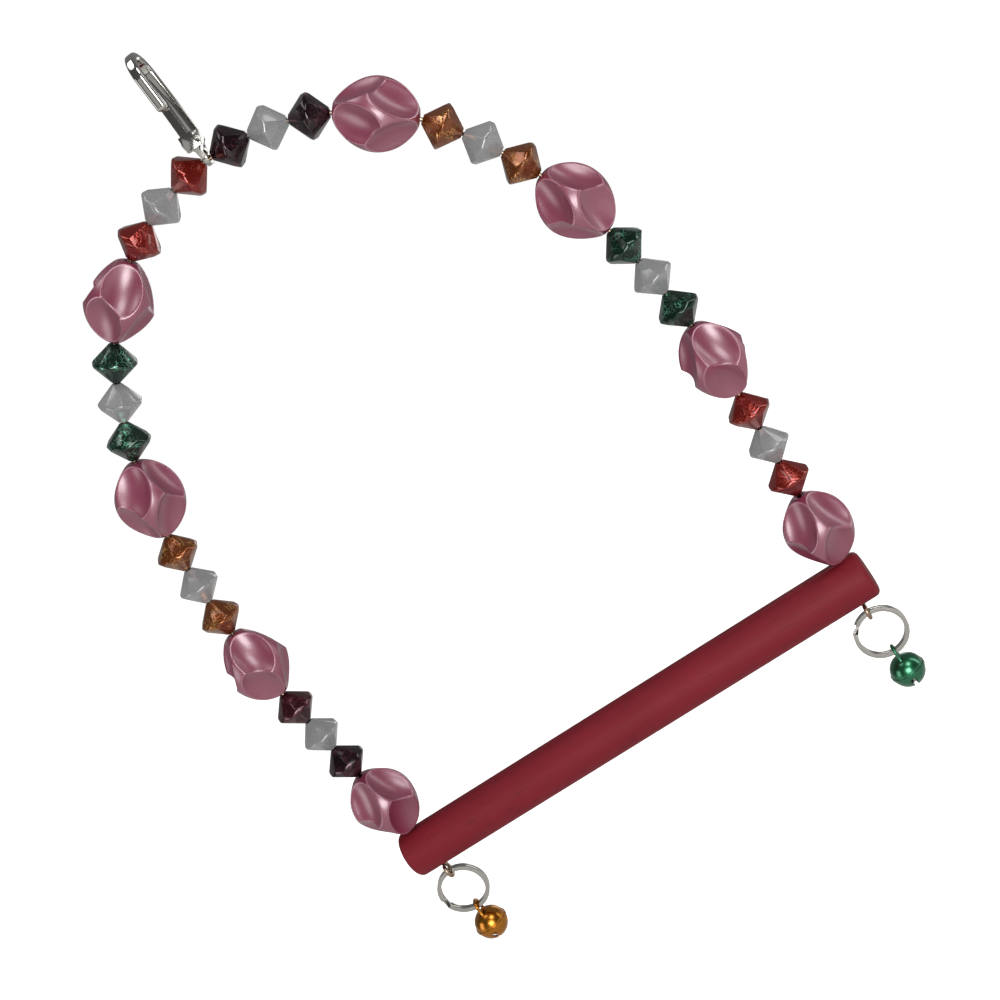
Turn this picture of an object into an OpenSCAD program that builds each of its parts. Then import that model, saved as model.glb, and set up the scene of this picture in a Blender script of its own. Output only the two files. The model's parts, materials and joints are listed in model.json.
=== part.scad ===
// Beaded wire bird swing: snap hook, arched wire with threaded beads, wooden perch,
// and a split ring with a jingle bell under each end of the perch.
// X runs along the perch, -Y is the front, +Z is up.
// The origin is the centre of the hook's bend, where the swing hangs on a bar.

/* [Clip] */
// Overall width of the hook across its two limbs
clip_w = 12.5; // [11:0.5:14]
// Width of the band that is bent round to make the hook
clip_band = 2.2; // [1.8:0.1:2.6]
// Thickness of the hook's plate
clip_t = 2.5; // [2:0.1:3]
// Depth of the hoop wire below the centre of the hook's bend
clip_drop = 22.8; // [21:0.2:28]
// Length of the nose below the centre of the bend
nose_len = 8.1; // [6:0.1:10]
// Room that the wire has in the clip's eye
clip_eye_room = 2; // [1.6:0.1:2.4]
// Metal left round the clip's eye
clip_eye_wall = 0.9; // [0.7:0.1:1.4]
// Thickness of the clip round its eye, between the beads
clip_eye_t = 1.2; // [1:0.1:1.5]
// Height of the thin part above the hoop wire
clip_eye_rise = 3.2; // [2.8:0.1:3.5]
// Height of the slope from the thin part to the full thickness
clip_eye_slope = 0.8; // [0.6:0.1:0.9]

/* [Gate] */
// Thickness of the gate's sheet
gate_t = 0.4; // [0.3:0.05:0.5]
// Width of the gate's leaf
gate_w = 2; // [1.4:0.1:2]
// How far the leaf reaches up behind the nose
gate_overlap = 1.5; // [1:0.1:2.5]
// Height of the rivet above the hoop wire
pivot_rise = 5.6; // [5.2:0.1:6.5]
// Distance of the rivet in from the hook's front edge
pivot_inset = 3.15; // [3:0.05:3.6]
// Radius of the hook's base round the rivet
pivot_boss_r = 1.6; // [1.3:0.1:1.8]
// Reach of the gate's folded cheeks round the rivet
cheek_r = 2; // [1.7:0.1:2.2]
// Diameter of the rivet's shank
rivet_d = 1.2; // [0.8:0.1:1.4]
// Diameter of the rivet's heads
rivet_head_d = 2.2; // [1.8:0.1:2.6]
// Thickness of each rivet head
rivet_head_t = 0.4; // [0.2:0.05:0.6]

/* [Hoop wire] */
// Diameter of the wire
wire_d = 1; // [0.8:0.1:1.4]
// Bend radius of the wire over the top
apex_radius = 60; // [55:1:70]
// Angle that the top bend turns through on each side
apex_turn = 56.5; // [50:0.5:60]
// Bend radius of the wire at the shoulders
shoulder_radius = 110; // [90:1:120]
// Angle that each shoulder turns through
shoulder_turn = 25; // [20:0.5:30]
// Bend radius of the wire down the sides
side_radius = 240; // [180:5:250]
// Angle that each side turns through
side_turn = 12.5; // [8:0.5:14]
// Inner diameter of the closed eye at each end of the wire
wire_eye_d = 2.8; // [2.7:0.1:3.4]
// Wire that shows between the perch and its eye
wire_exit = 0.3; // [0.1:0.1:1]
// Angle that the closed eye sweeps through
wire_eye_sweep = 335; // [300:5:340]

/* [Beads] */
// Length of a small faceted bead
small_len = 9.65; // [8:0.05:10]
// Width of a small faceted bead across its belly
small_w = 11.4; // [9:0.1:12.5]
// Number of facets round each half of a small bead
small_facets = 8; // [6:1:9]
// Flat rim round the hole of a small bead
small_rim = 0.4; // [0.3:0.1:1]
// Length of a pearl nugget bead
nugget_len = 20.1; // [18:0.1:22]
// Width of a pearl nugget bead before it is scooped
nugget_w = 17.4; // [15:0.1:19]
// Flat rim round the hole of a nugget bead
nugget_rim = 0.7; // [0.5:0.1:1]
// Radius across each hollow pressed into a nugget bead
scoop_r = 6.8; // [6.2:0.1:8]
// Radius along each hollow, from the belly to the end of the bead
scoop_long_r = 18.5; // [17:0.5:20]
// Depth of each hollow in a nugget bead
scoop_depth = 3.4; // [3:0.1:3.6]
// Distance of the hollows from the middle of a nugget bead
scoop_rise = 4.9; // [4.6:0.1:5.2]
// Twist of the upper hollows against the lower ones
scoop_twist = 27; // [15:1:30]

/* [Perch] */
// Diameter of the wooden perch
perch_d = 12.7; // [10:0.1:16]
// Wood outside each wire hole, measured from the hole's centre
perch_margin = 5.3; // [4:0.1:8]
// Rounding of the perch's end edges
perch_edge_r = 1.6; // [0.5:0.1:2.5]

/* [Rings] */
// Outer diameter of a split ring
ring_d = 14; // [13:0.5:18]
// Radial width of the ring's flat wire
ring_band = 1.1; // [0.8:0.1:1.3]
// Thickness of one turn of the ring's flat wire
ring_turn_t = 0.85; // [0.6:0.05:0.9]
// Gap between the ring's two turns
ring_turn_gap = 0.1; // [0.05:0.01:0.15]
// Angle of the crossing where the wire steps from one turn to the other
ring_step = 22; // [16:1:30]

/* [Bells] */
// Outer diameter of a bell
bell_d = 9; // [8:0.1:12]
// Wall of the bell's shell
bell_wall = 0.5; // [0.4:0.05:0.6]
// Height of the seam round the bell's middle
seam_h = 0.8; // [0.5:0.1:1.2]
// How far the seam stands out from the shell
seam_out = 0.2; // [0.1:0.05:0.4]
// Width of the crossed slots in the bell's lower half
slot_w = 1; // [0.8:0.1:1.3]
// Diameter of the round hole at each end of a slot
slot_end_d = 1.7; // [1.4:0.1:2]
// Diameter of the staple wire in the bell's crown
staple_d = 0.9; // [0.7:0.05:1]
// Inner diameter of the staple's loop
staple_loop_d = 2.8; // [2.7:0.1:3.2]
// Diameter of the loose steel pellet
pellet_d = 3.2; // [2.4:0.1:3.4]

/* [Clearances] */
// Gap between each middle bead and the clip
clip_gap = 0.6; // [0.5:0.05:0.8]
// Gap between two small beads
small_gap = 0.35; // [0.3:0.05:0.6]
// Gap at each end of a nugget bead
nugget_gap = 0.6; // [0.55:0.01:0.9]
// Gap between the lowest bead and the perch
seat_gap = 0.4; // [0.35:0.05:0.8]
// Play of the wire in a small bead's hole
small_play = 0.6; // [0.4:0.1:0.8]
// Play of the wire in a nugget bead's hole, past what its curve takes up
nugget_play = 0.4; // [0.3:0.1:0.6]
// Gap all round the wire in the perch's holes
perch_play = 0.2; // [0.1:0.05:0.3]
// Gap of a pin or a link that turns in its hole
run_gap = 0.05; // [0.03:0.01:0.1]
// Gap between the closed gate and the nose
gate_gap = 0.08; // [0.05:0.01:0.15]
// Gap of a ring or a staple hanging in its link
link_gap = 0.08; // [0.05:0.01:0.15]

/* [Hidden] */
$fn = 48;
cut = 1;
lap = 0.1;
nodes_per_side = 16;
group = 4;
function two_digits(n) = str(n < 10 ? "0" : "", n);
function bead_name(side, i) = str(side < 0 ? "left" : "right", "_bead_", two_digits(i + 1));

// Colours, and those of the beads from the clip down each side
nickel = "#c3c3c0";
wire_steel = "#a89a8c";
crimson = "#842231";
pearl = "#a0566f";
red = "#8c2a1e";
grey = "#b4b4b4";
green = "#1a5a3a";
copper = "#8f5424";
maroon = "#4a1822";
plum = "#34141f";
gold = "#b9771f";
bell_green = "#17603f";
left_colours = [red, grey, red, pearl, green, grey, green, pearl,
                copper, grey, copper, pearl, maroon, grey, plum, pearl];
right_colours = [plum, grey, plum, pearl, copper, grey, copper, pearl,
                 green, grey, green, pearl, red, grey, red, pearl];

// Turn of each bead round the wire, from the clip down each side
left_turns = [11, 43, 22, 50, 27, 4, 6, 72, 42, 36, 8, 32, 27, 32, 27, 84];
right_turns = [11, 25, 3, 76, 12, 4, 7, 0, 30, 2, 8, 36, 12, 40, 41, 5];

// Clip
clip_r = clip_w / 2;
window_r = clip_r - clip_band;
wire_z = -clip_drop;
pivot_y = -clip_r + pivot_inset;
pivot_z = wire_z + pivot_rise;
base_z = pivot_z + pivot_boss_r;
clip_eye_d = wire_d + clip_eye_room;
clip_eye_z = wire_z - wire_d / 2 - run_gap + clip_eye_d / 2;
clip_eye_r = clip_eye_d / 2 + clip_eye_wall;
clip_eye_drop = clip_eye_rise + 2 * clip_eye_r + cut;
rivet_hole_d = rivet_d + 2 * run_gap;

// Gate, worked out about the rivet
nose_tip = [-clip_r + clip_band / 2 - pivot_y, clip_band / 2 - nose_len - pivot_z];
leaf_in = pivot_boss_r + 3 * run_gap;
leaf_out = leaf_in + gate_t;
gate_lean = asin((leaf_out + gate_gap + clip_band / 2) / norm(nose_tip)) - atan(-nose_tip[0] / nose_tip[1]);
leaf_top = nose_tip[1] - clip_band / 2 + gate_overlap;
cheek_in = clip_t / 2 + run_gap;
cheek_out = cheek_in + gate_t;

// Path of the wire from the top of the arch, as [distance out, height, slope]
function turned(p, r, t) = [p[0] + r * (sin(p[2] + t) - sin(p[2])),
                            p[1] + r * (cos(p[2] + t) - cos(p[2])), p[2] + t];
function arc_length(r, t) = r * t * PI / 180;
function arc_angle(r, s) = s / r * 180 / PI;
path_0 = [0, wire_z, 0];
path_1 = turned(path_0, apex_radius, apex_turn);
path_2 = turned(path_1, shoulder_radius, shoulder_turn);
path_3 = turned(path_2, side_radius, side_turn);
length_1 = arc_length(apex_radius, apex_turn);
length_2 = length_1 + arc_length(shoulder_radius, shoulder_turn);
length_3 = length_2 + arc_length(side_radius, side_turn);
function on_wire(s) =
    s < length_1 ? turned(path_0, apex_radius, arc_angle(apex_radius, s)) :
    s < length_2 ? turned(path_1, shoulder_radius, arc_angle(shoulder_radius, s - length_1)) :
    s < length_3 ? turned(path_2, side_radius, arc_angle(side_radius, s - length_2)) :
    [path_3[0] + (s - length_3) * cos(path_3[2]), path_3[1] - (s - length_3) * sin(path_3[2]), path_3[2]];

// The wire's stretches meet inside short collars that stand out by less than a hair
collar_swell = 0.02;
collar_len = 0.4;

// Beads
small_bore_d = wire_d + small_play;
small_end_r = small_bore_d / 2 + small_rim;
small_mid_r = small_w / 2 / cos(180 / small_facets);
belly_share = 0.87;
zigzag_mid_r = small_w / 4 * (1 + 1 / cos(180 / small_facets));
nugget_sag = nugget_len * nugget_len / (8 * apex_radius);
nugget_bore_d = wire_d + nugget_sag + nugget_play;
nugget_end_r = nugget_bore_d / 2 + nugget_rim;
nugget_half = nugget_len / 2;
nugget_fall = nugget_w / 2 - nugget_end_r;
nugget_arc_r = (nugget_half * nugget_half + nugget_fall * nugget_fall) / (2 * nugget_fall);
nugget_arc_x = nugget_w / 2 - nugget_arc_r;
scoop_skin = sqrt(nugget_arc_r * nugget_arc_r - scoop_rise * scoop_rise) + nugget_arc_x;
scoop_tilt = asin(scoop_rise / nugget_arc_r);
scoop_reach = scoop_long_r - scoop_depth;
function is_nugget(i) = i % group == group - 1;
function bead_length(i) = is_nugget(i) ? nugget_len : small_len;
function gap_before(i) = is_nugget(i) || is_nugget(i - 1) ? nugget_gap : small_gap;
function bead_start(i) = i == 0 ? clip_eye_t / 2 + clip_gap
    : bead_start(i - 1) + bead_length(i - 1) + gap_before(i);
beads_end = bead_start(nodes_per_side - 1) + bead_length(nodes_per_side - 1);

// Perch, set where the beads end
wire_slope = path_3[2];
perch_bore_d = wire_d + 2 * perch_play;
perch_slant = perch_d / 2 / sin(wire_slope);
perch_at = on_wire(beads_end + seat_gap + perch_slant);
hole_x = perch_at[0];
perch_z = perch_at[1];
perch_len = 2 * (hole_x + perch_margin);

// Closed eye of the wire, and what hangs in it
eye_r = wire_eye_d / 2 + wire_d / 2;
stem_end = beads_end + seat_gap + 2 * perch_slant + wire_exit + wire_d / 2;
eye_at = on_wire(stem_end + eye_r);
ring_r = ring_d / 2;
ring_in_r = ring_r - ring_band;
ring_half_t = ring_turn_t + ring_turn_gap / 2;
function hang_depth(d) = sqrt(pow(d / 2 - link_gap, 2) - ring_half_t * ring_half_t);
ring_z = eye_at[1] - hang_depth(wire_eye_d) - ring_in_r;
staple_z = ring_z - ring_in_r - hang_depth(staple_loop_d);
bell_r = bell_d / 2;
bell_z = staple_z - staple_loop_d / 2 - bell_r;
hollow_r = bell_r - bell_wall;
pellet_z = bell_z - hollow_r + pellet_d / 2 + 2 * run_gap;

// Staple in the crown
staple_r = staple_loop_d / 2 + staple_d / 2;
staple_hole_d = staple_d + 4 * run_gap;
foot_len = staple_d;
foot_y = staple_r + foot_len;
foot_z = sqrt(hollow_r * hollow_r - foot_y * foot_y) - staple_d / 2 - 2 * run_gap;

// Slots of the bell
slot_end_angle = 22;
slot_end_y = bell_r * cos(slot_end_angle);
slot_end_z = -bell_r * sin(slot_end_angle);

// Turn of each split ring round its centre
left_ring_turn = 190;
right_ring_turn = 140;

// Places a bead between two points of the wire, its axis halfway to the curve
module on_bead_axis(side, start, length) {
    a = on_wire(start);
    b = on_wire(start + length);
    m = on_wire(start + length / 2);
    slope = atan2(a[1] - b[1], b[0] - a[0]);
    x = (a[0] + b[0] + 2 * m[0]) / 4;
    z = (a[1] + b[1] + 2 * m[1]) / 4;
    translate([side * x, 0, z]) rotate([0, side * (90 + slope), 0]) children();
}

// Places something on the straight end of the wire, its Z axis along the wire
module on_wire_end(side, s) {
    p = on_wire(s);
    translate([side * p[0], 0, p[1]]) rotate([0, side * (90 + p[2]), 0]) children();
}

// Extrudes an outline drawn in Y and Z to a thickness in X, centred
module plate(t) {
    rotate([90, 0, 90]) linear_extrude(height = t, center = true) children();
}

// Each outline is extruded by itself, so that the plates join as solids
module plates(t) {
    for (i = [0 : $children - 1]) plate(t) children(i);
}

module clip_body() {
    color(nickel) difference() {
        plates(clip_t) {
            circle(r = clip_r);
            translate([-clip_r, -nose_len + clip_band / 2]) square([clip_band, nose_len - clip_band / 2]);
            translate([-clip_r + clip_band / 2, -nose_len + clip_band / 2]) circle(d = clip_band);
            translate([window_r, pivot_z]) square([clip_band, -pivot_z]);
            polygon([[clip_r, base_z], [clip_r, pivot_z], [clip_eye_r - lap, clip_eye_z], [0, clip_eye_z - lap],
                     [lap - clip_eye_r, clip_eye_z], [pivot_y - pivot_boss_r + lap, pivot_z],
                     [pivot_y, pivot_z + lap], [pivot_y + lap, base_z]]);
            translate([pivot_y, pivot_z]) circle(r = pivot_boss_r);
            translate([0, clip_eye_z]) circle(r = clip_eye_r);
        }
        plates(clip_t + cut) {
            circle(r = window_r);
            translate([-window_r, base_z]) square([2 * window_r, -base_z]);
            translate([pivot_y, pivot_z]) circle(d = rivet_hole_d);
            translate([0, clip_eye_z]) circle(d = clip_eye_d);
        }
        for (side = [0, 1]) mirror([side, 0, 0]) translate([0, clip_w, wire_z + clip_eye_rise]) rotate([90, 0, 0])
            linear_extrude(height = 2 * clip_w)
                polygon([[clip_eye_t / 2, 0], [clip_t / 2, clip_eye_slope], [clip_t / 2 + cut, clip_eye_slope],
                         [clip_t / 2 + cut, -clip_eye_drop], [clip_eye_t / 2, -clip_eye_drop]]);
    }
}

// Sheet strip folded round the base of the hook, with a leaf that shuts against the nose
module clip_gate() {
    color(nickel) translate([0, pivot_y, pivot_z]) rotate([-gate_lean, 0, 0]) difference() {
        union() {
            translate([-gate_w / 2, -leaf_out, 0]) cube([gate_w, gate_t, leaf_top]);
            translate([-cheek_out, -leaf_out, -cheek_r]) cube([2 * cheek_out, gate_t, 2 * cheek_r]);
            for (side = [-1, 1]) translate([side * (cheek_in + cheek_out) / 2, 0, 0]) plate(gate_t) {
                circle(r = cheek_r);
                translate([-leaf_out, -cheek_r]) square([leaf_out, 2 * cheek_r]);
            }
        }
        rotate([0, 90, 0]) cylinder(h = 2 * cheek_out + cut, d = rivet_hole_d, center = true);
    }
}

module clip_rivet() {
    head_x = cheek_out + run_gap;
    color(nickel) translate([0, pivot_y, pivot_z]) rotate([0, 90, 0]) {
        cylinder(h = 2 * head_x, d = rivet_d, center = true);
        for (side = [0, 1]) mirror([0, 0, side]) translate([0, 0, head_x])
            cylinder(h = rivet_head_t, d = rivet_head_d);
    }
}

// One bent stretch of the wire, turning down from the point p
module wire_bend(p, r, t) {
    translate([p[0], 0, p[1]]) rotate([0, p[2], 0]) translate([0, 0, -r]) rotate([90, 0, 0])
        rotate([0, 0, 90 - t]) rotate_extrude(angle = t) translate([r, 0]) circle(d = wire_d);
}

module half_wire() {
    wire_bend(path_1, shoulder_radius, shoulder_turn);
    wire_bend(path_2, side_radius, side_turn);
    on_wire_end(1, length_3) cylinder(h = stem_end - length_3, d = wire_d);
    on_wire_end(1, stem_end + eye_r) rotate([0, 90, 0]) rotate_extrude(angle = wire_eye_sweep)
        translate([eye_r, 0]) circle(d = wire_d + 2 * collar_swell);
    for (p = [path_1, path_2, path_3]) translate([p[0], 0, p[1]]) rotate([0, 90 + p[2], 0])
        cylinder(h = collar_len, d = wire_d + 2 * collar_swell, center = true);
}

module hoop_wire() {
    color(wire_steel) {
        translate([0, 0, wire_z - apex_radius]) rotate([90, 0, 0]) rotate([0, 0, 90 - apex_turn])
            rotate_extrude(angle = 2 * apex_turn) translate([apex_radius, 0]) circle(d = wire_d);
        for (half = [0, 1]) mirror([half, 0, 0]) half_wire();
    }
}

// Round dowel with eased ends and a drilled hole for each end of the wire
module perch() {
    straight = perch_len - 2 * perch_edge_r;
    color(crimson) difference() {
        translate([0, 0, perch_z]) rotate([0, 90, 0]) rotate_extrude() {
            translate([0, -perch_len / 2]) square([perch_d / 2 - perch_edge_r, perch_len]);
            translate([0, -straight / 2]) square([perch_d / 2, straight]);
            for (end = [-1, 1]) translate([perch_d / 2 - perch_edge_r, end * straight / 2])
                circle(r = perch_edge_r);
        }
        for (side = [-1, 1]) translate([side * hole_x, 0, perch_z]) rotate([0, side * (90 + wire_slope), 0])
            cylinder(h = perch_d + 2 * cut, d = perch_bore_d, center = true);
    }
}

// Two facet cones back to back, one of them turned by the twist
module facet_cones(mid_r, twist) {
    intersection_for(half = [0, 1]) mirror([0, 0, half]) rotate([0, 0, half * twist])
        translate([0, 0, -small_len / 2])
            cylinder(h = small_len, r1 = 2 * mid_r - small_end_r, r2 = small_end_r, $fn = small_facets);
}

// The belly has its corners cut to rhombic facets, or else zigzags between facets that don't line up
module small_bead(zigzag) {
    difference() {
        if (zigzag) facet_cones(zigzag_mid_r, 180 / small_facets);
        else intersection() {
            facet_cones(small_mid_r, 0);
            rotate([0, 0, 180 / small_facets]) cylinder(h = small_len,
                r = belly_share * small_mid_r / cos(180 / small_facets), center = true, $fn = small_facets);
        }
        cylinder(h = small_len + cut, d = small_bore_d, center = true);
    }
}

// Barrel with eight hollows, four to each half, twisted against each other
module nugget_bead() {
    difference() {
        rotate_extrude() intersection() {
            translate([nugget_arc_x, 0]) circle(r = nugget_arc_r);
            translate([0, -nugget_half]) square([nugget_w, nugget_len]);
        }
        for (half = [-1, 1]) for (k = [0 : 3])
            rotate([0, 0, 90 * k + 45 + half * scoop_twist / 2])
                translate([scoop_skin + scoop_reach * cos(scoop_tilt), 0,
                           half * (scoop_rise + scoop_reach * sin(scoop_tilt))]) rotate([90, 0, 0])
                    rotate_extrude() translate([scoop_long_r - scoop_r, 0]) circle(r = scoop_r);
        cylinder(h = nugget_len + cut, d = nugget_bore_d, center = true);
    }
}

module bead(side, i) {
    colours = side < 0 ? left_colours : right_colours;
    turns = side < 0 ? left_turns : right_turns;
    color(colours[i]) on_bead_axis(side, bead_start(i), bead_length(i)) rotate([0, 0, turns[i]])
        if (is_nugget(i)) nugget_bead();
        else small_bead(colours[i] == grey);
}

// Flat wire wound twice round, with one slanted crossing between the turns
module ring(side) {
    middle_r = ring_in_r + ring_band / 2;
    step_len = 2 * middle_r * sin(ring_step / 2);
    chord_r = ring_in_r * cos(ring_step / 2);
    color(nickel) translate([side * eye_at[0], 0, ring_z]) rotate([90, 0, 0])
        rotate([0, 0, side < 0 ? left_ring_turn : right_ring_turn]) {
            for (level = [-1, 1]) rotate([0, 0, ring_step / 2]) rotate_extrude(angle = 360 - ring_step)
                translate([ring_in_r, level < 0 ? -ring_half_t : ring_turn_gap / 2])
                    square([ring_band, ring_turn_t]);
            translate([chord_r, 0, 0]) rotate([90, 0, 90]) linear_extrude(height = ring_band)
                polygon([[-step_len / 2, -ring_half_t], [-step_len / 2, -ring_turn_gap / 2],
                         [step_len / 2, ring_half_t], [step_len / 2, ring_turn_gap / 2]]);
        }
}

module bell_frame(side, z) {
    translate([side * eye_at[0], 0, z]) children();
}

// Hollow ball with a seam, two holes for the staple and crossed slots below
module bell_shell(side) {
    color(side < 0 ? gold : bell_green) bell_frame(side, bell_z) difference() {
        union() {
            sphere(r = bell_r);
            cylinder(h = seam_h, r = bell_r + seam_out, center = true);
        }
        sphere(r = hollow_r);
        for (leg = [-1, 1]) translate([0, leg * staple_r, 0]) cylinder(h = bell_r + cut, d = staple_hole_d);
        for (turn = [0, 90]) rotate([0, 0, turn]) {
            translate([-slot_w / 2, -slot_end_y, -bell_r - cut])
                cube([slot_w, 2 * slot_end_y, bell_r + cut + slot_end_z]);
            for (end = [-1, 1]) rotate([-end * (90 + slot_end_angle), 0, 0])
                cylinder(h = bell_r + cut, d = slot_end_d);
        }
    }
}

// Wire loop whose legs pass through the crown and turn outwards inside
module bell_staple(side) {
    leg_top = staple_z - bell_z;
    color(side < 0 ? gold : bell_green) bell_frame(side, bell_z) {
        translate([0, 0, leg_top]) rotate([90, 0, 90]) rotate_extrude(angle = 180)
            translate([staple_r, 0]) circle(d = staple_d);
        for (leg = [-1, 1]) translate([0, leg * staple_r, foot_z]) {
            cylinder(h = leg_top - foot_z, d = staple_d);
            sphere(d = staple_d);
            rotate([-leg * 90, 0, 0]) cylinder(h = foot_len, d = staple_d);
        }
    }
}

module bell_pellet(side) {
    color(nickel) bell_frame(side, pellet_z) sphere(d = pellet_d);
}

clip_body();
clip_gate();
clip_rivet();
hoop_wire();
perch();
for (side = [-1, 1]) for (i = [0 : nodes_per_side - 1])
    bead(side, i);
ring(-1);  // left_ring
ring(1);  // right_ring
bell_shell(-1);  // left_bell_shell
bell_shell(1);  // right_bell_shell
bell_staple(-1);  // left_bell_staple
bell_staple(1);  // right_bell_staple
bell_pellet(-1);  // left_bell_pellet
bell_pellet(1);  // right_bell_pellet
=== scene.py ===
import json
import math

import bmesh
import bpy
from mathutils import Matrix, Vector


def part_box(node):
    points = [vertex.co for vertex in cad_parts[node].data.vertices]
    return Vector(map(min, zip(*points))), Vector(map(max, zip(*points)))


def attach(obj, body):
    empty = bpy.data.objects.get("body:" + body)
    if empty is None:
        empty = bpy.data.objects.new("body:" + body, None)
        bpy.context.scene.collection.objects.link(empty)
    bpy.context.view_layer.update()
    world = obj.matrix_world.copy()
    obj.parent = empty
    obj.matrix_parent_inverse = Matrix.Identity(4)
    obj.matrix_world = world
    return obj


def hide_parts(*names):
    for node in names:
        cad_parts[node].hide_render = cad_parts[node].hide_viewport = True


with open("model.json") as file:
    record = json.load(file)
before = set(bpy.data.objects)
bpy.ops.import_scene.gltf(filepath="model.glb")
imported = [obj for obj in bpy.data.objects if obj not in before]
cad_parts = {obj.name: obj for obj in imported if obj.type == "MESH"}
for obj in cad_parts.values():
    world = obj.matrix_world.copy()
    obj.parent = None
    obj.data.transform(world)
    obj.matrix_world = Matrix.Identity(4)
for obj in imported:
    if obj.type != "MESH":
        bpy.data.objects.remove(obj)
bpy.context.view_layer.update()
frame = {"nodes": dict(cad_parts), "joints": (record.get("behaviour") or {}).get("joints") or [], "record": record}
print("frame loaded with", len(frame["nodes"]), "nodes")

mm = 0.001  # lengths below are in millimetres, angles in degrees
jointOf = {joint["child"]: joint for joint in frame["joints"]}
slotOf = {part["node"]: part["material_slot"] for part in frame["record"]["subparts"]}
bodyOf = {node: body for body, nodes in frame["record"]["behaviour"]["bodies"].items()
          for node in nodes}


# Helpers for materials
def linearColour(hexColour):
    # an sRGB hex colour as the linear values that the shaders use
    channels = []
    for start in (1, 3, 5):
        value = int(hexColour[start:start + 2], 16) / 255
        channels.append(value / 12.92 if value <= 0.04045 else ((value + 0.055) / 1.055) ** 2.4)
    return (*channels, 1)


def setSockets(tree, node, values):
    # a socket is given a link, a hex colour or a plain value
    for name, value in values.items():
        if isinstance(value, bpy.types.NodeSocket):
            tree.links.new(value, node.inputs[name])
        elif isinstance(value, str):
            node.inputs[name].default_value = linearColour(value)
        else:
            node.inputs[name].default_value = value


def addNode(tree, kind, settings=None, values=None):
    node = tree.nodes.new(kind)
    for name, value in (settings or {}).items():
        setattr(node, name, value)
    setSockets(tree, node, values or {})
    return node


def startMaterial(name):
    # the material's tree, its shader and the place on the piece that patterns read
    material = bpy.data.materials.new(name)
    material.use_nodes = True
    tree = material.node_tree
    place = addNode(tree, "ShaderNodeTexCoord").outputs["Object"]
    return material, tree, tree.nodes["Principled BSDF"], place


# Helpers for pieces
def putObject(name, data):
    item = bpy.data.objects.new(name, data)
    bpy.context.scene.collection.objects.link(item)
    return item


def putPiece(name, mesh, node, material):
    # a finished piece that stands for one CAD node and moves with its body
    piece = putObject(name, mesh)
    mesh.materials.clear()
    mesh.materials.append(material)
    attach(piece, bodyOf[node])
    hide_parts(node)
    return piece


copying = {
    "mergeWithin": 0.002,
    "flatAngle": 1,  # triangles that lie flatter than this to each other become one face
    "sharpFrom": 20.0535,  # between the faces beside an edge that may be chosen for a wider round
    "roundSegments": 3,
}


def mergedCopy(node, flatAngle=0):
    # the CAD mesh is loose triangles, so a copy of it is merged before it is finished
    bm = bmesh.new()
    bm.from_mesh(frame["nodes"][node].data)
    bmesh.ops.remove_doubles(bm, verts=bm.verts, dist=copying["mergeWithin"] * mm)
    if flatAngle:
        bmesh.ops.dissolve_limit(bm, angle_limit=math.radians(flatAngle),
                                 verts=bm.verts, edges=bm.edges)
    mesh = bpy.data.meshes.new(node + "_copy")
    bm.to_mesh(mesh)
    bm.free()
    return mesh


def roundChosen(mesh, isChosen, width, segments):
    # chosen sharp edges get a wider round, before the fine one that all sharp edges get
    bm = bmesh.new()
    bm.from_mesh(mesh)
    sharpFrom = math.radians(copying["sharpFrom"])
    edges = [edge for edge in bm.edges
             if edge.calc_face_angle(0) > sharpFrom and all(isChosen(v.co) for v in edge.verts)]
    bmesh.ops.bevel(bm, geom=edges, offset=width * mm, offset_type="OFFSET", segments=segments,
                    profile=0.5, affect="EDGES", clamp_overlap=True, material=-1)
    bm.to_mesh(mesh)
    bm.free()
    return mesh


def roundEdges(piece, width, sharpAngle):
    # edges sharper than the angle get a small round, and the faces between them stay as they are
    piece.data.shade_smooth()
    edges = piece.modifiers.new("rounded edges", "BEVEL")
    edges.width = width * mm
    edges.segments = copying["roundSegments"]
    edges.limit_method = "ANGLE"
    edges.angle_limit = math.radians(sharpAngle)
    edges.harden_normals = True


# Camera: in front of the swing, a little above its beads and to the right, and tilted
camera = {
    "place": (99.55, -421.89, -9.41),
    "right": (0.81498, 0.01401, -0.57931),  # where the picture's right and down point
    "down": (-0.54125, -0.33870, -0.76963),
    "focalPixels": 1821.2,
    "imagePixels": 1000,
    "sensorWidth": 36,
    "clipStart": 10,
}


def makeCamera():
    data = bpy.data.cameras.new("camera")
    data.sensor_width = camera["sensorWidth"]
    data.lens = camera["sensorWidth"] * camera["focalPixels"] / camera["imagePixels"]
    data.clip_start = camera["clipStart"] * mm
    right = Vector(camera["right"]).normalized()
    down = Vector(camera["down"]).normalized()
    back = down.cross(right).normalized()
    turn = Matrix((right, back.cross(right), back)).transposed().to_4x4()
    seat = putObject("camera", data)
    seat.matrix_world = Matrix.Translation(Vector(camera["place"]) * mm) @ turn
    bpy.context.scene.camera = seat


makeCamera()
print("camera set")

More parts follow.
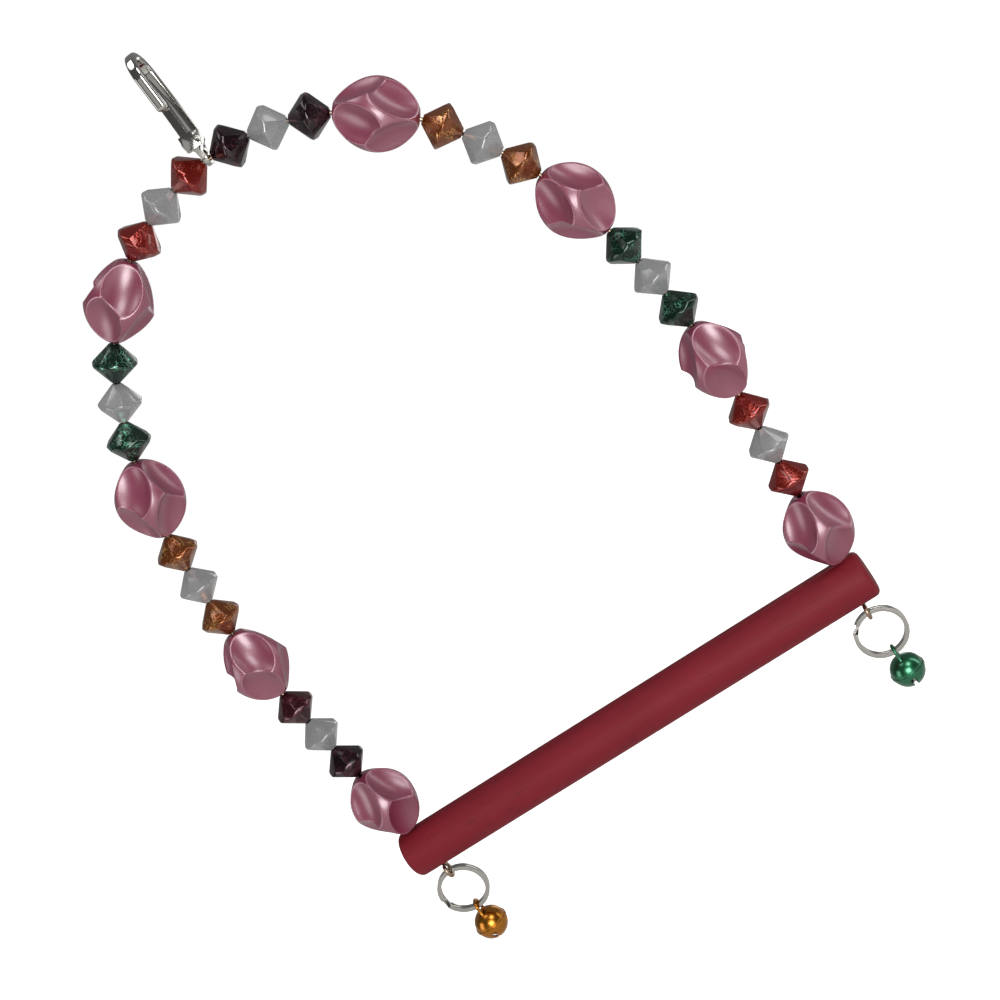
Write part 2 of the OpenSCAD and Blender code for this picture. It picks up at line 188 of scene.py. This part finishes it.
# Studio: a pale floor well below the swing, a pale room and soft lamps
studio = {
    "floorBelow": 40,  # under the lowest bell
    "floorHalf": 20000,  # from the middle of the floor to its side
    "floorColour": "#e9e8e6",
    "floorLift": 0.95,  # how white the floor looks where no lamp reaches it
    "roomColour": "#ffffff",
    "roomLight": 0.1,
    "mirrorGlow": 0.15,  # how bright metal sees the white behind the swing
    "floorFade": 300,  # how far behind the swing the floor's glow is full
    "roomFade": 0.4,  # how far a direction leans to the back where the room's glow is full
    "lamps": {
        # place, aim, width, height, watts
        "front": ((150, -770, 20), (7, 0, -130), 380, 380, 4.4),
        "upperRight": ((420, -420, 420), (0, 0, -110), 300, 300, 1.8),
        "top": ((-140, -80, 600), (0, 0, -100), 420, 300, 1.2),
        "left": ((-620, -300, -40), (0, 0, -120), 300, 420, 0.9),
        "rightStrip": ((560, 60, 0), (0, 0, -60), 110, 520, 0.6),
        "frontLeft": ((-205, -760, -10), (0, 0, -12), 150, 300, 0.06),  # seen in the hook's front
        "rearLow": ((132, 560, -150), (0, 0, -12), 160, 290, 0.22),  # seen in the hook's side
    },
}


def whiteShare(tree, coordinates, fade):
    # white where the camera looks, and behind the swing also for what metal mirrors
    path = addNode(tree, "ShaderNodeLightPath").outputs
    along = addNode(tree, "ShaderNodeSeparateXYZ", None, {0: coordinates}).outputs["Y"]
    behind = addNode(tree, "ShaderNodeMapRange", None,
                     {"Value": along, "From Max": fade, "To Max": studio["mirrorGlow"]})
    mirrors = addNode(tree, "ShaderNodeMath", {"operation": "MAXIMUM"},
                      {0: path["Is Glossy Ray"], 1: path["Is Transmission Ray"]})
    share = addNode(tree, "ShaderNodeMath", {"operation": "MULTIPLY_ADD"},
                    {0: mirrors.outputs[0], 1: behind.outputs[0], 2: path["Is Camera Ray"]})
    return share.outputs[0]


def mattPaper():
    # matt white paper: the camera sees it lifted to white, and the light on it stays true
    material = bpy.data.materials.new("matt_white_paper")
    material.use_nodes = True
    tree = material.node_tree
    tree.nodes.clear()
    place = addNode(tree, "ShaderNodeTexCoord").outputs["Object"]
    share = whiteShare(tree, place, studio["floorFade"] * mm)
    lift = addNode(tree, "ShaderNodeMath", {"operation": "MULTIPLY"},
                   {0: share, 1: studio["floorLift"]})
    matt = addNode(tree, "ShaderNodeBsdfDiffuse", None, {"Color": studio["floorColour"]})
    glow = addNode(tree, "ShaderNodeEmission", None, {"Strength": lift.outputs[0]})
    both = addNode(tree, "ShaderNodeAddShader", None, {0: matt.outputs[0], 1: glow.outputs[0]})
    addNode(tree, "ShaderNodeOutputMaterial", None, {"Surface": both.outputs[0]})
    return material


def makeFloor():
    lowest = min(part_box(node)[0].z for node in frame["nodes"])
    bm = bmesh.new()
    bmesh.ops.create_grid(bm, x_segments=2, y_segments=2, size=studio["floorHalf"] * mm)
    bmesh.ops.translate(bm, verts=bm.verts, vec=(0, 0, lowest - studio["floorBelow"] * mm))
    mesh = bpy.data.meshes.new("floor")
    bm.to_mesh(mesh)
    bm.free()
    mesh.materials.append(mattPaper())
    putObject("floor", mesh)


def makeRoom():
    world = bpy.data.worlds.new("pale room")
    bpy.context.scene.world = world
    world.use_nodes = True
    tree = world.node_tree
    tree.nodes.clear()
    direction = addNode(tree, "ShaderNodeTexCoord").outputs["Generated"]
    share = whiteShare(tree, direction, studio["roomFade"])
    strength = addNode(tree, "ShaderNodeMath", {"operation": "MULTIPLY_ADD"},
                       {0: share, 1: 1 - studio["roomLight"], 2: studio["roomLight"]})
    sky = addNode(tree, "ShaderNodeBackground", None,
                  {"Color": studio["roomColour"], "Strength": strength.outputs[0]})
    addNode(tree, "ShaderNodeOutputWorld", None, {"Surface": sky.outputs[0]})


def makeLamps():
    for name, (place, aim, width, height, watts) in studio["lamps"].items():
        lamp = bpy.data.lights.new(name, "AREA")
        lamp.shape = "RECTANGLE"
        lamp.size, lamp.size_y = width * mm, height * mm
        lamp.energy = watts
        seat = putObject(name, lamp)
        seat.location = Vector(place) * mm
        towards = Vector(aim) - Vector(place)
        seat.rotation_euler = towards.to_track_quat("-Z", "Y").to_euler()


makeFloor()
makeRoom()
makeLamps()
bpy.context.scene.view_settings.view_transform = "Standard"
print("studio set")

# Small faceted beads
facetedBead = {
    "edgeRound": 0.2,
    "bellyRound": 0.45,
    "greyBellyRound": 0.8,
    "bellySegments": 5,
    "bellyFrom": 3.2,  # edges further than this from the bead's axis are the belly's
    "sharpFrom": 20,
    "colours": {
        # slot: body, bright crease (partly a painted glint), how much of it shows, metallic
        "red_lacquer": ("#7a170e", "#f0705c", 0.45, 0.6),
        "copper_lacquer": ("#7e4118", "#ffc878", 0.75, 0.7),
        "green_lacquer": ("#07291b", "#7cd4ae", 0.75, 0.6),
        "maroon_lacquer": ("#3e0d17", "#c07080", 0.4, 0.6),
        "plum_lacquer": ("#1b060d", "#b05a78", 0.32, 0.6),
    },
    "crackle": 1.1,  # between the creases of the foil
    "creaseWidth": 0.07,  # as a share of that
    "creaseDepth": 0.15,
    "creaseStrength": 0.5,
    "creaseBend": 1.2,  # how far the creases wander
    "patch": 3.2,  # across a creased patch
    "patchFrom": 0.49,  # between these the patch's edge fades
    "patchTo": 0.6,
    "lacquer": {"Roughness": 0.2, "Coat Weight": 0.6, "Coat Roughness": 0.06},
    "grey": "#7a7a7b",
    # the pale rim colour is a painted sheen, mixed in where the surface turns away from the camera
    "greyPaintedRimSheen": "#b4b5b7",
    "greyPaintedRimSheenBlend": 0.18,
    "greyCloud": 4,  # across one cloud in the moulding
    "greyWave": 0.3,
    "greyWaveStrength": 0.2,
    "greyRoughness": (0.2, 0.34),
    "acrylic": {"IOR": 1.49, "Coat Weight": 1.0, "Coat Roughness": 0.1},
}


def foilLacquer(slotName):
    # moulded acrylic under foil-filled lacquer: deep glossy colour, with patches of foil creases whose brightness
    # is partly a painted glint
    bead = facetedBead
    body, creaseGlint, showing, metallic = bead["colours"][slotName]
    material, tree, shader, place = startMaterial(slotName + "_with_foil")
    cloud = addNode(tree, "ShaderNodeTexNoise", None,
                    {"Vector": place, "Scale": 1 / (bead["patch"] * mm), "Detail": 3.0})
    bent = addNode(tree, "ShaderNodeVectorMath", {"operation": "MULTIPLY_ADD"},
                   {0: cloud.outputs["Color"], 1: (bead["creaseBend"] * mm,) * 3, 2: place})
    crackle = addNode(tree, "ShaderNodeTexVoronoi", {"feature": "DISTANCE_TO_EDGE"},
                      {"Vector": bent.outputs[0], "Scale": 1 / (bead["crackle"] * mm)})
    vein = addNode(tree, "ShaderNodeMapRange", None,
                   {"Value": crackle.outputs["Distance"], "From Max": bead["creaseWidth"],
                    "To Min": 1.0, "To Max": 0.0})
    patch = addNode(tree, "ShaderNodeMapRange", None,
                    {"Value": cloud.outputs["Fac"], "From Min": bead["patchFrom"],
                     "From Max": bead["patchTo"], "To Max": showing})
    share = addNode(tree, "ShaderNodeMath", {"operation": "MULTIPLY"},
                    {0: vein.outputs[0], 1: patch.outputs[0]})
    # the creases' pale colour stands partly for painted glints on the foil
    tone = addNode(tree, "ShaderNodeMix", {"data_type": "RGBA"},
                   {0: share.outputs[0], 6: body, 7: creaseGlint})
    dent = addNode(tree, "ShaderNodeBump", None,
                   {"Height": crackle.outputs["Distance"], "Strength": bead["creaseStrength"],
                    "Distance": bead["creaseDepth"] * mm})
    setSockets(tree, shader, {"Base Color": tone.outputs[2], "Metallic": metallic,
                              "Normal": dent.outputs[0], **bead["lacquer"]})
    return material


def greyAcrylic():
    # moulded grey acrylic: even and half matt, with faint clouding from the mould, and a painted pale sheen on the
    # rims where the bead turns from the camera
    bead = facetedBead
    material, tree, shader, place = startMaterial("moulded_grey_acrylic")
    cloud = addNode(tree, "ShaderNodeTexNoise", None,
                    {"Vector": place, "Scale": 1 / (bead["greyCloud"] * mm), "Detail": 2.0})
    # painted sheen: the base colour pales towards the rims, by how the surface faces the camera
    paintedRimSheen = addNode(tree, "ShaderNodeLayerWeight", None, {"Blend": bead["greyPaintedRimSheenBlend"]})
    greyWithRimSheen = addNode(tree, "ShaderNodeMix", {"data_type": "RGBA"},
                   {0: paintedRimSheen.outputs["Facing"], 6: bead["grey"], 7: bead["greyPaintedRimSheen"]})
    wave = addNode(tree, "ShaderNodeBump", None,
                   {"Height": cloud.outputs["Fac"], "Strength": bead["greyWaveStrength"],
                    "Distance": bead["greyWave"] * mm})
    smoothest, roughest = bead["greyRoughness"]
    uneven = addNode(tree, "ShaderNodeMapRange", None,
                     {"Value": cloud.outputs["Fac"], "To Min": smoothest, "To Max": roughest})
    setSockets(tree, shader, {"Base Color": greyWithRimSheen.outputs[2], "Roughness": uneven.outputs[0],
                              "Normal": wave.outputs[0], **bead["acrylic"]})
    return material


def makeFacetedBeads():
    materials = {slotName: foilLacquer(slotName) for slotName in facetedBead["colours"]}
    materials["grey_acrylic"] = greyAcrylic()
    for node in sorted(frame["nodes"]):
        slotName = slotOf[node]
        if "_bead_" not in node or slotName not in materials:
            continue
        joint = jointOf[bodyOf[node]]
        middle, axis = Vector(joint["pos_m"]), Vector(joint["axis"]).normalized()

        def isBelly(place):
            return (place - middle).cross(axis).length > facetedBead["bellyFrom"] * mm

        width = facetedBead["greyBellyRound" if "grey" in slotName else "bellyRound"]
        shape = roundChosen(mergedCopy(node, copying["flatAngle"]), isBelly, width,
                            facetedBead["bellySegments"])
        piece = putPiece(node + "_faceted", shape, node, materials[slotName])
        roundEdges(piece, facetedBead["edgeRound"], facetedBead["sharpFrom"])


makeFacetedBeads()
print("faceted beads made")

# Pearl nugget beads: a barrel with eight hollows, whose edges soften into ridges
nugget = {
    "length": 20.1,
    "width": 17.4,
    "bore": 2.242,
    "boreEase": 0.25,
    "endRim": 0.7,
    "scoopRadius": 6.8,  # across a hollow
    "scoopLongRadius": 18.5,  # along it
    "scoopDepth": 3.4,
    "scoopRise": 4.9,  # from the bead's middle to a hollow's
    "twist": 27,  # of one half's hollows against the other's
    "ridgeSoftness": 0.13,
    "ridgeWidth": 0.6,
    "around": 208,  # corners round the bead, and along it
    "along": 116,
    "turns": {
        # bead number: how it is turned round the wire
        "left": {4: 50, 8: 72, 12: 32, 16: 84},
        "right": {4: 76, 8: 0, 12: 36, 16: 5},
    },
    "body": "#6e1b37",
    "bodyCloud": "#863650",
    "cloud": 7,  # across one cloud in the coat
    # a painted highlight along the ridges, paler where they are sharpest
    "paintedRidgeHighlight": "#dca9b9",
    "paleFrom": 0.72,
    "paleShare": 0.6,
    "flow": 0.4,  # how far the coat flowed unevenly
    "flowStrength": 0.12,
    "pearl": {
        "Metallic": 0.12, "Roughness": 0.42, "IOR": 1.8, "Specular Tint": "#f2e4ea",
        "Coat Weight": 0.9, "Coat IOR": 1.8, "Coat Roughness": 0.3,
    },
}


def nuggetOutline():
    # the barrel from end to end, then back through the bore
    half, bore, ease = nugget["length"] / 2, nugget["bore"] / 2, nugget["boreEase"]
    fall = nugget["width"] / 2 - bore - nugget["endRim"]
    arcRadius = (half * half + fall * fall) / (2 * fall)
    arcPlace = nugget["width"] / 2 - arcRadius
    reach = math.asin(half / arcRadius)
    barrel = []
    for step in range(nugget["along"] + 1):
        angle = reach * (2 * step / nugget["along"] - 1)
        barrel.append((arcPlace + arcRadius * math.cos(angle), arcRadius * math.sin(angle)))
    corner = 0.3 * ease  # the eased edge is a round of two short steps
    edge = [(bore + ease, half), (bore + corner, half - corner), (bore, half - ease)]
    middle = [(bore, half / 2), (bore, 0), (bore, -half / 2)]
    return barrel + edge + middle + [(r, -z) for r, z in reversed(edge)], arcRadius, arcPlace


def hollowRings(arcRadius, arcPlace):
    # a ring's outer side presses each hollow: its angle, and its centre's distance and height
    tilt = math.asin(nugget["scoopRise"] / arcRadius)
    skin = arcRadius * math.cos(tilt) + arcPlace
    reach = nugget["scoopLongRadius"] - nugget["scoopDepth"]
    rings = []
    for half in (-1, 1):
        for quarter in range(4):
            angle = math.radians(90 * quarter + 45 + half * nugget["twist"] / 2)
            height = half * (nugget["scoopRise"] + reach * math.sin(tilt))
            rings.append((angle, skin + reach * math.cos(tilt), height))
    return rings


def nuggetMesh():
    outline, arcRadius, arcPlace = nuggetOutline()
    rings = hollowRings(arcRadius, arcPlace)
    soft, bore = nugget["ridgeSoftness"], nugget["bore"] / 2
    across, middle = nugget["scoopRadius"], nugget["scoopLongRadius"] - nugget["scoopRadius"]
    weld = 0.0001  # corners closer than this are one
    rimSlack = 0.01
    halvings = 13  # bring a corner to its place within about a micrometre

    def depths(radius, angle, z):
        # how far a point lies outside the barrel, then inside each hollow's ring
        values = [math.hypot(radius - arcPlace, z) - arcRadius]
        for ringAngle, out, up in rings:
            aside = radius * math.sin(angle - ringAngle)
            along = math.hypot(radius * math.cos(angle - ringAngle) - out, z - up)
            values.append(across - math.hypot(along - middle, aside))
        return values

    def isOutside(radius, angle, z):
        values = depths(radius, angle, z)
        top = max(values)
        return top + soft * math.log(sum(math.exp((value - top) / soft) for value in values)) > 0

    bm = bmesh.new()
    corners = [bm.verts.new((r, 0, z)) for r, z in outline]
    sides = [bm.edges.new(pair) for pair in zip(corners, corners[1:] + corners[:1])]
    bmesh.ops.spin(bm, geom=corners + sides, axis=(0, 0, 1), cent=(0, 0, 0), dvec=(0, 0, 0),
                   angle=2 * math.pi, steps=nugget["around"], use_merge=True)
    bmesh.ops.remove_doubles(bm, verts=bm.verts, dist=weld)
    ridge = bm.verts.layers.float.new("ridge")
    for vert in bm.verts:
        radius, z = math.hypot(vert.co.x, vert.co.y), vert.co.z
        if radius < bore + nugget["endRim"] - rimSlack:
            continue  # the bore and its rims stay round
        angle = math.atan2(vert.co.y, vert.co.x)
        low, high = bore, radius
        for halving in range(halvings):
            trial = (low + high) / 2
            if isOutside(trial, angle, z):
                high = trial
            else:
                low = trial
        vert.co.x, vert.co.y = low * math.cos(angle), low * math.sin(angle)
        first, second = sorted(depths(low, angle, z), reverse=True)[:2]
        vert[ridge] = max(0, 1 - (first - second) / nugget["ridgeWidth"])
    bmesh.ops.recalc_face_normals(bm, faces=bm.faces)
    bmesh.ops.scale(bm, verts=bm.verts, vec=(mm, mm, mm))
    mesh = bpy.data.meshes.new("nugget")
    bm.to_mesh(mesh)
    bm.free()
    mesh.shade_smooth()
    return mesh


def pearlAcrylic():
    # moulded acrylic under a mica pearl coat: wine body, soft pink sheen, and thin ridges made pale by a painted
    # highlight
    material, tree, shader, place = startMaterial("pearl_coated_moulded_acrylic")
    cloud = addNode(tree, "ShaderNodeTexNoise", None,
                    {"Vector": place, "Scale": 1 / (nugget["cloud"] * mm), "Detail": 3.0})
    body = addNode(tree, "ShaderNodeMix", {"data_type": "RGBA"},
                   {0: cloud.outputs["Fac"], 6: nugget["body"], 7: nugget["bodyCloud"]})
    ridge = addNode(tree, "ShaderNodeAttribute", {"attribute_name": "ridge"})
    edge = addNode(tree, "ShaderNodeMapRange", None,
                   {"Value": ridge.outputs["Fac"], "From Min": nugget["paleFrom"],
                    "From Max": 1.0, "To Max": nugget["paleShare"]})
    # painted highlight: the ridges' colour is paled towards a light pink
    ridgeHighlighted = addNode(tree, "ShaderNodeMix", {"data_type": "RGBA"},
                   {0: edge.outputs[0], 6: body.outputs[2], 7: nugget["paintedRidgeHighlight"]})
    flow = addNode(tree, "ShaderNodeBump", None,
                   {"Height": cloud.outputs["Fac"], "Strength": nugget["flowStrength"],
                    "Distance": nugget["flow"] * mm})
    setSockets(tree, shader, {"Base Color": ridgeHighlighted.outputs[2], "Normal": flow.outputs[0],
                              **nugget["pearl"]})
    return material


def makeNuggets():
    shape, material = nuggetMesh(), pearlAcrylic()
    for side, turns in nugget["turns"].items():
        for number, turn in turns.items():
            node = "%s_bead_%02d" % (side, number)
            joint = jointOf[bodyOf[node]]
            bend = math.atan2(joint["axis"][0], joint["axis"][2])
            mesh = shape.copy()
            mesh.transform(Matrix.Translation(joint["pos_m"]) @ Matrix.Rotation(bend, 4, "Y")
                           @ Matrix.Rotation(math.radians(turn), 4, "Z"))
            putPiece(node + "_pearl", mesh, node, material)


makeNuggets()
print("nuggets made")

# Perch
perch = {
    "holeEdge": 0.3,
    "sharpFrom": 35,
    "body": "#781523",
    "wash": "#6c111e",
    "washWidth": 14,  # across a place where the paint lies thicker
    "deep": "#4c0c16",
    "grain": 0.35,  # across a grain line, and along it
    "grainLength": 6,
    "grainDepth": 0.12,
    "grainStrength": 0.25,
    "poreFrom": 0.42,  # between these the grain darkens to a pore
    "poreTo": 0.3,
    "poreShare": 0.8,
    "paint": {"Roughness": 0.6, "Specular IOR Level": 0.25},
}


def paintedDowel():
    # sanded birch dowel under thin satin paint: even crimson, fine grain lines and dark pores
    material, tree, shader, place = startMaterial("satin_painted_birch")
    along = addNode(tree, "ShaderNodeMapping", None,
                    {"Vector": place, "Scale": (perch["grain"] / perch["grainLength"], 1, 1)})
    grain = addNode(tree, "ShaderNodeTexNoise", None,
                    {"Vector": along.outputs[0], "Scale": 1 / (perch["grain"] * mm),
                     "Detail": 3.0, "Roughness": 0.65})
    cloud = addNode(tree, "ShaderNodeTexNoise", None,
                    {"Vector": place, "Scale": 1 / (perch["washWidth"] * mm), "Detail": 2.0})
    pore = addNode(tree, "ShaderNodeMapRange", None,
                   {"Value": grain.outputs["Fac"], "From Min": perch["poreFrom"],
                    "From Max": perch["poreTo"], "To Max": perch["poreShare"]})
    wash = addNode(tree, "ShaderNodeMix", {"data_type": "RGBA"},
                   {0: cloud.outputs["Fac"], 6: perch["body"], 7: perch["wash"]})
    tone = addNode(tree, "ShaderNodeMix", {"data_type": "RGBA"},
                   {0: pore.outputs[0], 6: wash.outputs[2], 7: perch["deep"]})
    lines = addNode(tree, "ShaderNodeBump", None,
                    {"Height": grain.outputs["Fac"], "Strength": perch["grainStrength"],
                     "Distance": perch["grainDepth"] * mm})
    setSockets(tree, shader, {"Base Color": tone.outputs[2], "Normal": lines.outputs[0],
                              **perch["paint"]})
    return material


def makePerch():
    piece = putPiece("perch_painted", mergedCopy("perch"), "perch", paintedDowel())
    roundEdges(piece, perch["holeEdge"], perch["sharpFrom"])


makePerch()
print("perch made")

# Snap hook, hoop wire, split rings and bells
metalWork = {
    "limbRound": 0.8,
    "limbSegments": 6,
    "limbsAbove": -14.5,  # the hook's limbs are above this height, its base below
    "hookEdge": 0.25,
    "gateEdge": 0.1,
    "rivetEdge": 0.14,
    "ringEdge": 0.1,
    "shellEdge": 0.08,
    "sharpFrom": 40,
    "creaseFrom": 35,  # of wires and balls, whose edges stay sharp
    "finishes": {
        # name: colour, roughness, coat
        "polished_nickel_plate": ("#bdbab5", 0.1, 0.0),
        "drawn_steel_wire": ("#a68f7c", 0.26, 0.0),
        "rolled_steel_ball": ("#b9b9b9", 0.3, 0.0),
        "gold_lacquered_brass_shell": ("#b8761f", 0.26, 0.4),
        "green_lacquered_brass_shell": ("#2a7250", 0.3, 0.8),
    },
    "coatRoughness": 0.12,
    "unevenness": 0.3,  # how much the roughness varies
    "cloud": 5,  # across an uneven patch
    "mark": 0.5,  # across a hair mark, drawn coarser than real so that it shows
    "markDepth": 0.03,
    "markStrength": 0.04,
}


def polishedMetal(name):
    # polished, plated or lacquered metal: clear reflections, softened by hair-fine marks
    hexColour, roughness, coat = metalWork["finishes"][name]
    material, tree, shader, place = startMaterial(name)
    marks = addNode(tree, "ShaderNodeTexNoise", None,
                    {"Vector": place, "Scale": 1 / (metalWork["mark"] * mm),
                     "Detail": 4.0, "Roughness": 0.7})
    cloud = addNode(tree, "ShaderNodeTexNoise", None,
                    {"Vector": place, "Scale": 1 / (metalWork["cloud"] * mm), "Detail": 2.0})
    uneven = addNode(tree, "ShaderNodeMapRange", None,
                     {"Value": cloud.outputs["Fac"],
                      "To Min": roughness * (1 - metalWork["unevenness"]),
                      "To Max": roughness * (1 + metalWork["unevenness"])})
    dent = addNode(tree, "ShaderNodeBump", None,
                   {"Height": marks.outputs["Fac"], "Strength": metalWork["markStrength"],
                    "Distance": metalWork["markDepth"] * mm})
    setSockets(tree, shader, {"Base Color": hexColour, "Metallic": 1.0,
                              "Roughness": uneven.outputs[0], "Normal": dent.outputs[0],
                              "Coat Weight": coat, "Coat Roughness": metalWork["coatRoughness"]})
    return material


def makeHookAndRings(nickel):
    def isLimb(place):
        return place.z > metalWork["limbsAbove"] * mm

    flatAngle, sharpFrom = copying["flatAngle"], metalWork["sharpFrom"]
    shape = roundChosen(mergedCopy("clip_body", flatAngle), isLimb,
                        metalWork["limbRound"], metalWork["limbSegments"])
    hook = putPiece("clip_body_plated", shape, "clip_body", nickel)
    roundEdges(hook, metalWork["hookEdge"], sharpFrom)
    for node, edge in (("clip_gate", "gateEdge"), ("clip_rivet", "rivetEdge"),
                       ("left_ring", "ringEdge"), ("right_ring", "ringEdge")):
        piece = putPiece(node + "_plated", mergedCopy(node, flatAngle), node, nickel)
        roundEdges(piece, metalWork[edge], sharpFrom)


def makeBellsAndWire(metals):
    shellMetal = {"left": metals["gold_lacquered_brass_shell"],
                  "right": metals["green_lacquered_brass_shell"]}
    for side, metal in shellMetal.items():
        node = side + "_bell_shell"
        piece = putPiece(node + "_gloss", mergedCopy(node), node, metal)
        roundEdges(piece, metalWork["shellEdge"], metalWork["sharpFrom"])
    for node, metal in (("hoop_wire", metals["drawn_steel_wire"]),
                        ("left_bell_staple", shellMetal["left"]),
                        ("right_bell_staple", shellMetal["right"]),
                        ("left_bell_pellet", metals["rolled_steel_ball"]),
                        ("right_bell_pellet", metals["rolled_steel_ball"])):
        piece = putPiece(node + "_smooth", mergedCopy(node), node, metal)
        piece.data.shade_smooth()
        piece.data.set_sharp_from_angle(angle=math.radians(metalWork["creaseFrom"]))


metals = {name: polishedMetal(name) for name in metalWork["finishes"]}
makeHookAndRings(metals["polished_nickel_plate"])
makeBellsAndWire(metals)
print("metal work made")
